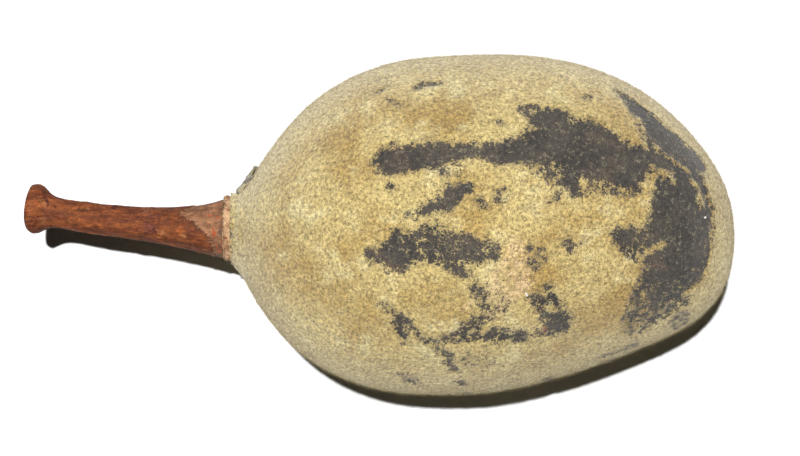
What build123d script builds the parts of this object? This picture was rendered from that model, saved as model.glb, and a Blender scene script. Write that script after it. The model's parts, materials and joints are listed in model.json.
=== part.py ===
"""A whole dried baobab pod on its woody stalk, held by the stalk and shaken as a rattle.

The pod is a hollow woody shell under a coat of short velvet hair. Inside, eight wedges of dry pulp
with their seeds hang on a fibre core, and four seeds have come loose in the chamber at the tip.

The pod is drawn about its own X axis: the stalk leaves at -X, the tip is at +X, X = 0 is the widest
place and +Z is up. At the end everything is tipped to the way the pod lies and set down on Z = 0.
"""

from build123d import *
import os
from math import cos, exp, pi, radians, sin, sqrt, tan

# ------------------------------------------------------------------ driving sizes, mm and degrees
# Pod, measured over the velvet
stalk_side = 90.0  # from the widest place to the stalk end
tip_side = 92.0  # from the widest place to the tip
pod_width = 122.0
pod_height = 114.0  # it lies on its flatter side
stalk_fullness = 3.0  # a larger number carries the width further out
stalk_taper = 0.8  # over 0.5 draws the stalk end to a cone
tip_fullness = 1.7
tip_taper = 0.44
pod_sidestep = 1.4  # the widest section's middle lies this far to +Y of the stalk's axis
stalk_sway = 5.6  # towards the stalk the middle line sways to -Y
stalk_return = 2.4  # and comes back by this much right at the stalk
tip_sway = 3.3  # towards the tip it first sways to +Y
tip_lean = 5.4  # and then leans to -Y
form_stations = 18  # sections that the form is lofted through

# Layers, from outside in
velvet_thickness = 0.9
pressed_depth = 0.45  # the pile is pressed flat by this much where the pod lies on it
layer_gap = 0.12  # between layers that have grown together
shell_wall = 8.5
kernel_gap = 3.5  # dry pulp shrinks away from the shell

# Stalk
stalk_length = 72.0  # from the stalk end of the pod to the scar
waist_radius = 5.2
collar_radius = 11.7
collar_flare = 16.0  # length over which the collar swells
knob_radius = 8.6
knob_length = 5.0
knob_from_end = 1.5
stalk_sidestep = 7.2  # the scar lies this far to +Y of the pod's axis
stalk_droop = 10.0  # and this far below it
stalk_bend = 1.7  # over 1 keeps the stalk straight near the pod
bark_thickness = 1.3
bark_start = 9.6  # the bark is torn off this far from the pod
ring_top = 1.0  # the ring ends this far out along the stalk
ring_swell = 0.5  # and stands proud of the swelling by this much
stalk_root = 4.0  # how far the stalk's form is carried into the pod before it is trimmed to it
stalk_stations = 16

# Where the stalk enters the pod
tenon_radius = 6.0
tenon_clearance = 0.12
tenon_reach = 2.5  # past the inside of the shell

# Scrap of the calyx on the pod's shoulder
scrap_thickness = 0.9
scrap_lift = 0.35
scrap_start = 3.6  # from the stalk end of the pod
scrap_length = 6.4
scrap_width = 12.0
scrap_turn = 8.0  # degrees above the +Y side

# Pulp, fibres and seeds
segment_count = 8
segment_gap = 2.6  # between the flat sides of neighbouring wedges
kernel_stalk_gap = 2.0  # extra room at the stalk end
kernel_tip_gap = 32.0  # extra room at the tip: the chamber where seeds come loose
core_radius = 3.2
core_clearance = 0.3
tip_fibre_radius = 1.2
strand_radius = 0.9
strand_depth = 3.0  # from the kernel's surface to the middle of a strand
strand_end_radius = 9.0  # from the pod's axis to a strand's two ends
strand_end_gap = 5.0  # from the kernel's ends to a strand's ends
seed_length = 12.0
seed_width = 7.0
notch_radius = 3.0  # the hollow that makes a seed kidney-shaped
notch_depth = 1.2
pocket_clearance = 0.2
pocket_wall = 0.8  # pulp left beside a seed
seed_rows = 3
seed_row_pitch = 26.0
first_seed_row = -40.0
inner_seed_radius = 15.0  # from the pod's axis to the inner seed of a row
outer_seed_depth = 7.0  # from the kernel's surface to the outer seeds

# Loose seeds: where each one lies, along and across the pod
loose_seed_places = [(57.5, -17.5), (66.0, -8.6), (57.5, 9.0), (66.0, 16.6)]
rest_gap = 0.3

# How the pod lies: the stalk end hangs lower than the tip
rest_tilt = 1.6

# Sizes that follow from the ones above
shell_inset = velvet_thickness + layer_gap
cavity_inset = shell_inset + shell_wall
kernel_inset = cavity_inset + kernel_gap
kernel_stalk_end = -(stalk_side - kernel_inset - kernel_stalk_gap)
kernel_tip_end = tip_side - kernel_inset - kernel_tip_gap
tenon_end = -(stalk_side - cavity_inset) + tenon_reach
ring_radius = collar_radius + ring_swell
half_wedge = 180.0 / segment_count
beyond = 2 * (pod_width + stalk_side + tip_side)  # longer than anything a cutter passes through


# ------------------------------------------------------------------ the pod's form
def middle_line(x):
    """How far the middle of the pod's section at x lies to +Y."""
    if x < 0:
        t = min(-x / stalk_side, 1.0)
        return pod_sidestep - stalk_sway * t**1.6 + stalk_return * t**12
    t = min(x / tip_side, 1.0)
    return pod_sidestep + tip_sway * sin(pi * t**1.2) - tip_lean * t**3


def share_of_width(t):
    """The section's size as a share of the widest one, from t = -1 at the stalk end to 1 at the tip."""
    if t < 0:
        return (1 - (-t) ** stalk_fullness) ** stalk_taper
    return (1 - t**tip_fullness) ** tip_taper


def pod_form(inset, stalk_gap=0.0, tip_gap=0.0):
    """The pod's outer form, drawn in by inset all round and by the extra gaps at its two ends."""
    stalk_end = stalk_side - inset - stalk_gap
    tip_end = tip_side - inset - tip_gap
    sections = [Vertex(-stalk_end, middle_line(-stalk_end), 0)]
    for i in range(1, form_stations):
        t = -cos(pi * i / form_stations)
        x = t * (stalk_end if t < 0 else tip_end)
        share = share_of_width(t)
        plane = Plane(origin=(x, middle_line(x), 0), x_dir=(0, 1, 0), z_dir=(1, 0, 0))
        sections.append(plane * Ellipse((pod_width / 2 - inset) * share, (pod_height / 2 - inset) * share))
    sections.append(Vertex(tip_end, middle_line(tip_end), 0))
    return loft(sections)


def kernel_radius(x, angle):
    """From the pod's middle line to the kernel's surface at x, in the direction angle from +Y."""
    share = share_of_width(x / -kernel_stalk_end if x < 0 else x / kernel_tip_end)
    across = (pod_width / 2 - kernel_inset) * share
    up = (pod_height / 2 - kernel_inset) * share
    return across * up / sqrt((up * cos(radians(angle))) ** 2 + (across * sin(radians(angle))) ** 2)


def on_axis(start, end, radius):
    """A round bar on the pod's axis from X = start to X = end."""
    return Pos((start + end) / 2, 0, 0) * Rot(0, 90, 0) * Cylinder(radius, end - start)


def mouth(radius):
    """A bar that cuts a round hole through the pod's stalk end only."""
    return on_axis(-beyond, -stalk_side / 2, radius)


# ------------------------------------------------------------------ shell and velvet
def make_shell():
    return pod_form(shell_inset) - pod_form(cavity_inset) - mouth(tenon_radius + tenon_clearance)


def make_velvet():
    """The coat, pressed flat underneath so that the pod lies without rolling."""
    coat = pod_form(0) - pod_form(velvet_thickness) - mouth(ring_radius + layer_gap)
    lying = Rot(0, -rest_tilt, 0) * coat
    floor = lying.bounding_box().min.Z + pressed_depth
    pressed = split(lying, bisect_by=Plane.XY.offset(floor), keep=Keep.TOP)
    return Rot(0, rest_tilt, 0) * pressed


# ------------------------------------------------------------------ stalk
def stalk_point(s):
    """The stalk's middle line at the distance s out from the pod."""
    share = max(s, 0.0) / stalk_length
    return Vector(-stalk_side - s, stalk_sidestep * share**stalk_bend, -stalk_droop * share**stalk_bend)


def stalk_plane(s):
    """The plane across the stalk at s, looking out towards the scar."""
    step = 0.5
    outward = stalk_point(s + step) - stalk_point(s - step)
    return Plane(origin=stalk_point(s), x_dir=(0, 1, 0), z_dir=outward)


def stalk_radius(s):
    flare = (collar_radius - waist_radius) * exp(-max(s, 0.0) / collar_flare)
    knob = (knob_radius - waist_radius) * exp(-(((s - stalk_length + knob_from_end) / knob_length) ** 2))
    return waist_radius + flare + knob


def stalk_form(inset):
    """The stalk's outer form, drawn in by inset, from inside the pod to the scar."""
    sections = []
    for i in range(stalk_stations + 1):
        s = -stalk_root + (stalk_length + stalk_root) * i / stalk_stations
        sections.append(stalk_plane(s) * Circle(stalk_radius(s) - inset))
    return loft(sections)


def stalk_sleeve(start, end):
    """A sleeve of bark thickness round the stalk between two distances from the pod."""
    sleeve = stalk_form(0) - stalk_form(bark_thickness)
    sleeve = split(sleeve, bisect_by=stalk_plane(start), keep=Keep.TOP)
    if end < stalk_length:
        sleeve = split(sleeve, bisect_by=stalk_plane(end), keep=Keep.BOTTOM)
    return sleeve


def make_stalk_wood():
    """The core wood, from the scar to the tenon that fills the hole in the shell."""
    core = stalk_form(bark_thickness + layer_gap) - pod_form(shell_inset - layer_gap)
    return core + on_axis(-stalk_side - ring_top, tenon_end, tenon_radius)


def make_ring():
    """The pale ring where the calyx stood, seated on the hard shell inside the velvet's mouth."""
    outside = on_axis(-stalk_side - 2 * ring_top, -stalk_side + stalk_root, ring_radius)
    outside = split(outside, bisect_by=stalk_plane(ring_top), keep=Keep.BOTTOM)
    return outside - stalk_form(bark_thickness) - pod_form(shell_inset - layer_gap)


def make_scrap():
    """A curled flake of calyx that still hugs the pod beside the collar."""
    sheet = pod_form(-scrap_lift - scrap_thickness) - pod_form(-scrap_lift)
    middle = -stalk_side + scrap_start + scrap_length / 2
    window = Pos(middle, pod_width / 2, 0) * Box(scrap_length, pod_width, scrap_width)
    return (sheet & (Rot(scrap_turn, 0, 0) * window)) - mouth(ring_radius + scrap_lift)


# ------------------------------------------------------------------ pulp, fibres and seeds
def radial(angle):
    return Vector(0, cos(radians(angle)), sin(radians(angle)))


def seed_form(clearance=0.0):
    """A plump seed about the origin, its long way along Y, grown all round by clearance."""
    half_width = seed_width / 2 + clearance
    return scale(Sphere(1), by=(half_width, seed_length / 2 + clearance, half_width))


def make_seed():
    """The seed with the notch that makes it kidney-shaped, in its -X side."""
    notch = Pos(notch_depth - seed_width / 2 - notch_radius, 0, 0) * Cylinder(notch_radius, 2 * seed_width)
    return seed_form() - notch


def seed_seats(angle):
    """Where the seeds of the wedge at this angle lie, each with its long way along the pod."""
    outward = radial(angle)
    sideways = radial(angle + 90)
    seats = []
    for row in range(seed_rows):
        x = first_seed_row + row * seed_row_pitch
        seats.append(Vector(x, 0, 0) + outward * inner_seed_radius)
        end_of_seed = abs(x) + seed_length / 2
        r = kernel_radius(end_of_seed if x > 0 else -end_of_seed, angle) - outer_seed_depth
        room = r * sin(radians(half_wedge)) - segment_gap / 2 - seed_width / 2 - pocket_wall
        spread = room / cos(radians(half_wedge))
        for side in (-1, 1):
            seats.append(Vector(x, 0, 0) + outward * r + sideways * (side * spread))
    return [Location(Plane(origin=p, x_dir=outward, z_dir=outward.cross(Vector(1, 0, 0)))) for p in seats]


def wedge(angle):
    """A long prism between two flat sides, each half a gap away from the plane through the axis."""
    tip = segment_gap / 2 / sin(radians(half_wedge))
    half_width = beyond * tan(radians(half_wedge))
    outline = make_face(Polyline((tip, 0), (tip + beyond, half_width), (tip + beyond, -half_width), close=True))
    prism = extrude(Plane.YZ.offset(-beyond) * outline, 2 * beyond)
    return Rot(angle, 0, 0) * prism


def make_fibre_core():
    """The fibre bundle from the tenon through the kernel, and on as a thread to the tip."""
    core = on_axis(tenon_end + layer_gap, kernel_tip_end, core_radius)
    return core + on_axis(kernel_tip_end - core_radius, tip_side - cavity_inset - rest_gap, tip_fibre_radius)


def make_strand(angle):
    """A fibre that runs lengthwise between two wedges, near their outsides."""
    outward = radial(angle)
    start = Vector(kernel_stalk_end + strand_end_gap, 0, 0) + outward * strand_end_radius
    crown = outward * (kernel_radius(0, angle) - strand_depth)
    end = Vector(kernel_tip_end - strand_end_gap, 0, 0) + outward * strand_end_radius
    line = ThreePointArc(start, crown, end)
    return sweep(Plane(origin=line @ 0, z_dir=line % 0) * Circle(strand_radius), path=line)


def settle(seed, shell):
    """Lowers a loose seed until it lies rest_gap above the inside of the shell."""
    for _ in range(8):
        drop = seed.distance_to(shell) - rest_gap
        seed = Pos(0, 0, -drop) * seed
    return seed


# ------------------------------------------------------------------ all the pieces
def make_nodes():
    shell = make_shell()
    nodes = {
        "woody_shell": shell,
        "velvet_coat": make_velvet(),
        "stalk_wood": make_stalk_wood(),
        "stalk_bark": stalk_sleeve(bark_start, stalk_length),
        "stalk_swelling": stalk_sleeve(ring_top + layer_gap, bark_start - layer_gap),
        "calyx_ring": make_ring(),
        "calyx_scrap": make_scrap(),
        "fibre_core": make_fibre_core(),
    }
    kernel = pod_form(kernel_inset, kernel_stalk_gap, kernel_tip_gap)
    kernel -= on_axis(-beyond, beyond, core_radius + core_clearance)
    seed = make_seed()
    pocket = seed_form(pocket_clearance)
    for i in range(segment_count):
        angle = (2 * i + 1) * half_wedge
        seats = seed_seats(angle)
        segment = kernel & wedge(angle)
        nodes[f"pulp_segment_{i + 1}"] = segment - [seat * pocket for seat in seats]
        nodes[f"seeds_in_segment_{i + 1}"] = Compound([seat * seed for seat in seats])
        nodes[f"fibre_strand_{i + 1}"] = make_strand(angle + half_wedge)
    for i, (x, y) in enumerate(loose_seed_places):
        nodes[f"loose_seed_{i + 1}"] = settle(Pos(x, y, 0) * Rot(0, 0, 90) * seed, shell)
    return nodes


def set_down(nodes):
    """Tips every piece to the way the pod lies, then centres the whole over the origin and on Z = 0."""
    tipped = {name: Rot(0, -rest_tilt, 0) * piece for name, piece in nodes.items()}
    boxes = [piece.bounding_box() for piece in tipped.values()]
    low = [min(getattr(box.min, axis) for box in boxes) for axis in "XYZ"]
    high = [max(getattr(box.max, axis) for box in boxes) for axis in "XYZ"]
    place = Pos(-(low[0] + high[0]) / 2, -(low[1] + high[1]) / 2, -low[2])
    return {name: place * piece for name, piece in tipped.items()}


os.makedirs("parts", exist_ok=True)
for node_name, node_shape in set_down(make_nodes()).items():
    export_step(node_shape, f"parts/{node_name}.step")
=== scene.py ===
# %% [markdown]
# # A dried baobab pod with its velvet worn away
# The pod is a hollow woody shell under a coat of short stiff hairs. Years of handling have rubbed the
# hairs off in patches, and there the dark shell skin shows. The stalk keeps its red-brown bark.
# This notebook dresses the plain solid frame: it grows the coat, wears it, and finishes the stalk.

# %% Load the frame
import json
import math
import random

import bmesh
import bpy
import numpy as np
from mathutils import Matrix, Vector, noise
from mathutils.bvhtree import BVHTree


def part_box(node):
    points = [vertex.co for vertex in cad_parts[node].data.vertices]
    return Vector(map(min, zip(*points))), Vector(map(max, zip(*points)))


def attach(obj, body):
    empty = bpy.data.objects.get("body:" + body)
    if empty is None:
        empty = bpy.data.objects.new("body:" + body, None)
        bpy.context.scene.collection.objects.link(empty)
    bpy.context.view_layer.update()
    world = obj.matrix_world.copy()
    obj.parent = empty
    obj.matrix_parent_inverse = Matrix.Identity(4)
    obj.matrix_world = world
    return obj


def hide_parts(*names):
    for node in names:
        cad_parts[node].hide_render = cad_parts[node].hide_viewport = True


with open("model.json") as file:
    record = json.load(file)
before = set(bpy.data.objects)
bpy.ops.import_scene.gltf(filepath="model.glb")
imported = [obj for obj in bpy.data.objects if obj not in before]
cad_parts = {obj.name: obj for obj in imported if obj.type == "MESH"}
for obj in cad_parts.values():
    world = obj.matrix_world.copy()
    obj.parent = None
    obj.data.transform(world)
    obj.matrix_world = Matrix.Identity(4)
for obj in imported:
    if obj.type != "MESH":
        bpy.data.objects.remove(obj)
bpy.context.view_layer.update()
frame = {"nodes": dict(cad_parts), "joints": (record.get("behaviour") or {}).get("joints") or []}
MM = 0.001

# %% [markdown]
# ## How the pod lies
# The pod rests on its belly with its stalk a little lower than its tip. A loose seed slides square to
# the pod's own length, so its joint tells which way is up for the pod. The wear on the belly and the
# flanks follows the pod's length, and is placed with these directions.

# %% Directions and landmarks of the pod
pod_up = Vector(frame["joints"][0]["axis"]).normalized()
pod_along = Vector((0, 1, 0)).cross(pod_up)
coat_low, coat_high = [Vector(corner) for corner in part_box("velvet_coat")]
pod_centre = (coat_low + coat_high) / 2
pod_half_length = (coat_high.x - coat_low.x) / 2
stalk_foot = coat_low.x
print("tilt of the pod, degrees:", round(math.degrees(math.asin(pod_along.z)), 2))

# %% [markdown]
# ## Floor, camera and lamps
# A pod like this is usually shown flat on a white table. The table is one big grid face, because only
# the shadow on it is seen. Its paint burns out to plain white under the strong lamp.

# %% Floor
FLOOR_SIZE = 6.0
PAINT_SHARE = 0.55  # under so strong a lamp every paint looks lighter than it is, so it is mixed darker
floor_bm = bmesh.new()
bmesh.ops.create_grid(floor_bm, x_segments=1, y_segments=1, size=FLOOR_SIZE / 2)
floor_mesh = bpy.data.meshes.new("white_table")
floor_bm.to_mesh(floor_mesh)
floor_bm.free()
floor = bpy.data.objects.new("white_table", floor_mesh)
bpy.context.scene.collection.objects.link(floor)
floor_material = bpy.data.materials.new("white table top")
floor_material.use_nodes = True
floor_shader = floor_material.node_tree.nodes["Principled BSDF"]
floor_shader.inputs["Base Color"].default_value = (PAINT_SHARE, PAINT_SHARE, PAINT_SHARE, 1)
floor_shader.inputs["Roughness"].default_value = 0.9
floor_mesh.materials.append(floor_material)
print("table, m:", FLOOR_SIZE)

# %% [markdown]
# The camera hangs straight above the pod, which shows its whole outline. A long lens keeps that
# outline true: a short one close by would swell the middle and shrink the stalk.

# %% Camera straight above
SENSOR_WIDTH = 36
CAMERA_HEIGHT = 1.4
VIEW_WIDTH = 287.4 * MM
VIEW_CENTRE = (8.2 * MM, -1.1 * MM)
camera_data = bpy.data.cameras.new("camera")
camera_data.sensor_width = SENSOR_WIDTH
camera_data.lens = SENSOR_WIDTH * (CAMERA_HEIGHT - pod_centre.z) / VIEW_WIDTH
camera = bpy.data.objects.new("camera", camera_data)
camera.location = (*VIEW_CENTRE, CAMERA_HEIGHT)
bpy.context.scene.collection.objects.link(camera)
bpy.context.scene.camera = camera
print("lens, mm:", round(camera_data.lens))

# %% [markdown]
# A flash close to the camera gives hard light and a narrow dark shadow along one side. A sun lamp
# does that best, because its rays are even over the whole pod. A faint soft box and a dim room only
# keep the shadow from going fully black.

# %% Lamps
ROOM_LIGHT = 0.009


def add_area(name, place, aim, size, power):
    """A square lamp at place that points at aim."""
    data = bpy.data.lights.new(name, "AREA")
    data.size = size
    data.energy = power
    lamp = bpy.data.objects.new(name, data)
    lamp.location = place
    lamp.rotation_euler = (Vector(aim) - Vector(place)).to_track_quat("-Z", "Y").to_euler()
    bpy.context.scene.collection.objects.link(lamp)
    print(name, "power:", power)


def add_sun(name, lean_x, lean_y, spread, power):
    """A far lamp whose rays fall down, leaning by these degrees in X and Y."""
    data = bpy.data.lights.new(name, "SUN")
    data.angle = math.radians(spread)
    data.energy = power
    lamp = bpy.data.objects.new(name, data)
    fall = Vector((math.tan(math.radians(lean_x)), math.tan(math.radians(lean_y)), -1))
    lamp.rotation_euler = fall.to_track_quat("-Z", "Y").to_euler()
    bpy.context.scene.collection.objects.link(lamp)
    print(name, "power:", power)


add_sun("flash", lean_x=3.6, lean_y=-7.3, spread=1.2, power=7.0)
add_area("soft box", place=(-0.5, 1.2, 1.5), aim=pod_centre, size=1.0, power=0.3)
world = bpy.data.worlds.new("studio")
world.use_nodes = True
world.node_tree.nodes["Background"].inputs["Color"].default_value = (1.0, 1.0, 1.0, 1)
world.node_tree.nodes["Background"].inputs["Strength"].default_value = ROOM_LIGHT
bpy.context.scene.world = world
bpy.context.scene.view_settings.view_transform = "Standard"

# %% [markdown]
# ## Building blocks for the materials
# Natural surfaces are never one colour. Two effects come back in every finish here, so each is a
# node group that is built once: broad **mottling**, which makes clouds of a second colour, and fine
# **grain**, which breaks the surface up at the scale of hairs and fibres.

# %% Small helpers for node trees
def shade(red, green, blue):
    """A colour as it looks under the flash, 0 to 255, turned into what the shader needs."""
    def linear(value):
        value /= 255
        return value / 12.92 if value <= 0.04045 else ((value + 0.055) / 1.055) ** 2.4
    return (linear(red) * PAINT_SHARE, linear(green) * PAINT_SHARE, linear(blue) * PAINT_SHARE, 1.0)


def add_node(tree, kind, values=None, **settings):
    """A node with its settings, and its inputs either set or wired."""
    made = tree.nodes.new(kind)
    for key, value in settings.items():
        setattr(made, key, value)
    for key, value in (values or {}).items():
        if isinstance(value, bpy.types.NodeSocket):
            tree.links.new(value, made.inputs[key])
        else:
            made.inputs[key].default_value = value
    return made


def blend_colours(tree, amount, first, second):
    """The first colour where the amount is 0, and the second where it is 1."""
    return add_node(tree, "ShaderNodeMix", {0: amount, 6: first, 7: second}, data_type="RGBA").outputs[2]


def soft_step(tree, value, low, high, start=0.0, end=1.0):
    """Goes softly from start to end while the value goes from low to high."""
    made = add_node(tree, "ShaderNodeMapRange", {0: value, 1: low, 2: high, 3: start, 4: end})
    made.interpolation_type = "SMOOTHSTEP"
    return made.outputs[0]


def calculate(tree, operation, first, second):
    """The result of one sum on two numbers, either of which may be a socket."""
    return add_node(tree, "ShaderNodeMath", {0: first, 1: second}, operation=operation).outputs[0]


def stored(tree, name):
    """A number that the mesh keeps at each of its corners."""
    return add_node(tree, "ShaderNodeAttribute", attribute_name=name).outputs["Fac"]


def object_place(tree):
    """Where a point lies on the piece, the same in every direction."""
    return add_node(tree, "ShaderNodeTexCoord").outputs["Object"]


# %% [markdown]
# A node group is a small tree of its own with named inputs and outputs. It is made once, and every
# material then places it with its own scale. Clouds come from one noise that is pushed through a soft
# step. Grain adds a fine noise to a coarser one, so that it doesn't look like an even screen.

# %% The mottling and grain groups
COARSE_GRAIN = 0.31  # the scale of the coarser noise against the fine one


def new_group(name, inputs, outputs):
    """An empty node group with its sockets, and its two end nodes."""
    group = bpy.data.node_groups.new(name, "ShaderNodeTree")
    for label, kind, value in inputs:
        made = group.interface.new_socket(label, in_out="INPUT", socket_type=kind)
        if value is not None:
            made.default_value = value
    for label in outputs:
        group.interface.new_socket(label, in_out="OUTPUT", socket_type="NodeSocketFloat")
    return group, group.nodes.new("NodeGroupInput"), group.nodes.new("NodeGroupOutput")


def make_mottling():
    """Clouds: 0 between them and 1 inside, with a soft edge from Low to High."""
    group, given, result = new_group(
        "mottling",
        [("Vector", "NodeSocketVector", None), ("Scale", "NodeSocketFloat", 40.0),
         ("Low", "NodeSocketFloat", 0.42), ("High", "NodeSocketFloat", 0.6)],
        ["Mask"],
    )
    cloud = add_node(group, "ShaderNodeTexNoise", {
        "Vector": given.outputs["Vector"], "Scale": given.outputs["Scale"],
        "Detail": 5.0, "Roughness": 0.6})
    mask = soft_step(group, cloud.outputs["Fac"], given.outputs["Low"], given.outputs["High"])
    group.links.new(mask, result.inputs["Mask"])
    return group


def make_grain():
    """Fine grain: Value swings about 0 for colours, and Height stays above 0 for bumps."""
    group, given, result = new_group(
        "grain",
        [("Vector", "NodeSocketVector", None), ("Scale", "NodeSocketFloat", 1500.0)],
        ["Value", "Height"],
    )
    fine = add_node(group, "ShaderNodeTexNoise", {
        "Vector": given.outputs["Vector"], "Scale": given.outputs["Scale"],
        "Detail": 2.0, "Roughness": 0.7})
    coarse_scale = calculate(group, "MULTIPLY", given.outputs["Scale"], COARSE_GRAIN)
    coarse = add_node(group, "ShaderNodeTexNoise", {
        "Vector": given.outputs["Vector"], "Scale": coarse_scale, "Detail": 2.0, "Roughness": 0.6})
    both = calculate(group, "ADD", fine.outputs["Fac"], coarse.outputs["Fac"])
    centred = calculate(group, "SUBTRACT", calculate(group, "MULTIPLY", both, 0.5), 0.5)
    group.links.new(centred, result.inputs["Value"])
    group.links.new(both, result.inputs["Height"])
    return group


mottling_group = make_mottling()
grain_group = make_grain()
print("node groups:", mottling_group.name, grain_group.name)


def mottle(tree, vector, scale, low, high):
    """Places the mottling group in a material and gives back its mask."""
    made = add_node(tree, "ShaderNodeGroup", node_tree=mottling_group)
    tree.links.new(vector, made.inputs["Vector"])
    made.inputs["Scale"].default_value = scale
    made.inputs["Low"].default_value = low
    made.inputs["High"].default_value = high
    return made.outputs["Mask"]


def grain(tree, vector, scale):
    """Places the grain group in a material."""
    made = add_node(tree, "ShaderNodeGroup", node_tree=grain_group)
    tree.links.new(vector, made.inputs["Vector"])
    made.inputs["Scale"].default_value = scale
    return made


# %% [markdown]
# Every finish starts from the place on the piece, and ends in a colour, a roughness and a bump on the
# Principled shader. Two helpers do that, so that the finishes below only say what is their own.

# %% Starting and ending a material
SHEEN_ROUGHNESS = 0.6


def start_material(name, stretch=(1, 1, 1)):
    """A material, its tree and a place socket. A small number in stretch draws streaks that way."""
    material = bpy.data.materials.new(name)
    material.use_nodes = True
    tree = material.node_tree
    stretched = add_node(tree, "ShaderNodeMapping", {"Vector": object_place(tree), "Scale": stretch})
    return material, tree, stretched.outputs["Vector"]


def end_material(tree, colour, roughness, height, depth, sheen=0.0, specular=0.3):
    """Wires the colour, roughness and bump into the material's own shader."""
    shader = tree.nodes["Principled BSDF"]
    tree.links.new(colour, shader.inputs["Base Color"])
    if isinstance(roughness, float):
        shader.inputs["Roughness"].default_value = roughness
    else:
        tree.links.new(roughness, shader.inputs["Roughness"])
    bump = add_node(tree, "ShaderNodeBump", {"Height": height, "Distance": depth, "Strength": 1.0})
    tree.links.new(bump.outputs["Normal"], shader.inputs["Normal"])
    shader.inputs["Sheen Weight"].default_value = sheen
    shader.inputs["Sheen Roughness"].default_value = SHEEN_ROUGHNESS
    shader.inputs["Specular IOR Level"].default_value = specular


def brighten(tree, colour, value, amount):
    """Makes the colour lighter and darker by the value, which swings about 0."""
    gain = calculate(tree, "ADD", calculate(tree, "MULTIPLY", value, amount), 1.0)
    made = add_node(tree, "ShaderNodeVectorMath", {0: colour, "Scale": gain}, operation="SCALE")
    return made.outputs[0]


# %% [markdown]
# ## The velvet coat
# The coat is a skin of short matted hairs that is closed round the whole pod and ends in a torn lip
# round the stalk. It needs small even faces, so that the worn patches can sink into it. A fine sphere
# is wrapped onto the frame: every corner moves along a line to the pod's middle until it meets the
# coat. Across the mouth there is nothing to meet, so a flat lid with a ragged rim closes it.

# %% Where a line from the middle meets the coat
LIP = 1.8 * MM  # the coat's torn lip reaches this far past the solid coat's rim
LIP_RADIUS = 12.7 * MM
LIP_WIDTH = 4.5 * MM
LID_FLAT_SHARE = 0.8  # the lid is flat out to this share of the lip's radius
LIP_TEARS = 0.5 * MM
LIP_TEAR_SIZE = 2.5 * MM
coat_tree = BVHTree.FromObject(frame["nodes"]["velvet_coat"], bpy.context.evaluated_depsgraph_get())
ring_low, ring_high = [Vector(corner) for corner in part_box("calyx_ring")]
mouth_centre = (ring_low + ring_high) / 2
print("middle of the mouth, mm:", [round(c / MM, 1) for c in mouth_centre])


def from_mouth(point):
    """The way from the middle of the mouth out to the point, square to X."""
    return Vector((0, point.y - mouth_centre.y, point.z - mouth_centre.z))


def onto_pod(direction):
    """The place on the coat in this direction from the middle, or on a lid across its mouth."""
    reach = 2 * pod_half_length
    hit = coat_tree.ray_cast(pod_centre + direction * reach, -direction, reach)[0]
    if hit is not None and (hit.x > pod_centre.x or from_mouth(hit).length > LIP_RADIUS):
        swell = math.exp(-((from_mouth(hit).length - LIP_RADIUS) / LIP_WIDTH) ** 2)
        return hit - Vector((LIP * swell, 0, 0)) if hit.x < pod_centre.x else hit
    lid = pod_centre + direction * ((stalk_foot - LIP - pod_centre.x) / direction.x)
    out = from_mouth(lid)
    if out.length < LID_FLAT_SHARE * LIP_RADIUS:
        return lid
    ragged = LIP_TEARS * noise.noise(lid / LIP_TEAR_SIZE)
    return Vector((lid.x + ragged, mouth_centre.y, mouth_centre.z)) + out.normalized() * LIP_RADIUS


# %% Wrap a sphere onto the pod
ROUND_FACES = 350
LONG_FACES = 250
POD_PROPORTIONS = Vector((1.0, 0.68, 0.66))  # length, width, height; they spread the corners evenly
coat_bm = bmesh.new()
bmesh.ops.create_uvsphere(coat_bm, u_segments=ROUND_FACES, v_segments=LONG_FACES, radius=1.0)


def face_rank(face):
    """A number of its own for each face, made from its three lowest corners."""
    first, second, third = sorted(corner.index for corner in face.verts)[:3]
    return float((first * len(coat_bm.verts) + second) * len(coat_bm.verts) + third)


# The operator lists the faces in a new order on each run, and the hairs are sown by that order
coat_bm.verts.index_update()
coat_bm.faces.sort(key=face_rank)
lay_down = Matrix.Rotation(math.pi / 2, 3, "Y")
bmesh.ops.rotate(coat_bm, verts=coat_bm.verts, matrix=lay_down)
for corner in coat_bm.verts:
    corner.co = onto_pod((corner.co * POD_PROPORTIONS).normalized())
bmesh.ops.recalc_face_normals(coat_bm, faces=coat_bm.faces)
print("coat corners:", len(coat_bm.verts))

# %% [markdown]
# ## Where the velvet is rubbed off
# The wear is drawn as strokes, the way a thumb would rub it. A stroke runs from one place to another
# on the top of the pod, with a half width at each end. Its depth caps how bare it gets: a deep stroke
# bares the shell, and one near zero leaves a speckle of hairs. All numbers are millimetres. A list of
# strokes is easier to read and to change than a painted mask, and it stays sharp at any size.

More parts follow.
